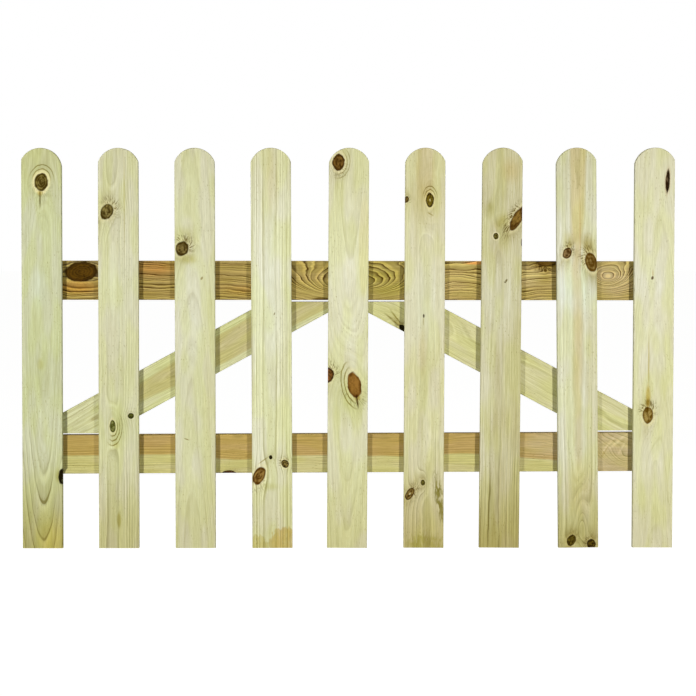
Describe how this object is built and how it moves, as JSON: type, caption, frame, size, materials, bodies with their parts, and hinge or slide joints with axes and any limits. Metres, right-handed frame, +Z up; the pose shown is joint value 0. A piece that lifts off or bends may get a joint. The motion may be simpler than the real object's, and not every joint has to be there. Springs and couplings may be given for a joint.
{
  "type": "picket garden gate leaf",
  "caption": "Wooden picket garden gate leaf: round-top pales screwed to two horizontal rails and two sloping braces.",
  "frame": {"origin": "on the back face of the lower rail, at the middle of its height, behind the centre line of the first pale, where the lower hinge is screwed on", "axes": "+X runs along the leaf to the viewer's right as seen from the front, +Y points out of the back of the rails, away from the pales, and +Z is up"},
  "size_m": [1.502, 0.048, 0.9224],
  "materials": {
    "pale_pine": "planed softwood, pressure treated, pale green-cream with olive growth rings and brown knots, matt",
    "rail_pine": "planed softwood heartwood, pressure treated, honey brown with darker rings, matt",
    "brace_pine": "planed softwood, pressure treated, green-yellow with tan rings, matt",
    "screw_steel": "yellow zinc plated screw heads on the back of the rails and braces, satin"
  },
  "bodies": {
    "root": {"pale_1": "pale_pine", "pale_2": "pale_pine", "pale_3": "pale_pine", "pale_4": "pale_pine", "pale_5": "pale_pine", "pale_6": "pale_pine", "pale_7": "pale_pine", "pale_8": "pale_pine", "pale_9": "pale_pine", "lower_rail": "rail_pine", "upper_rail": "rail_pine", "left_brace": "brace_pine", "right_brace": "brace_pine"}
  },
  "joints": []
}
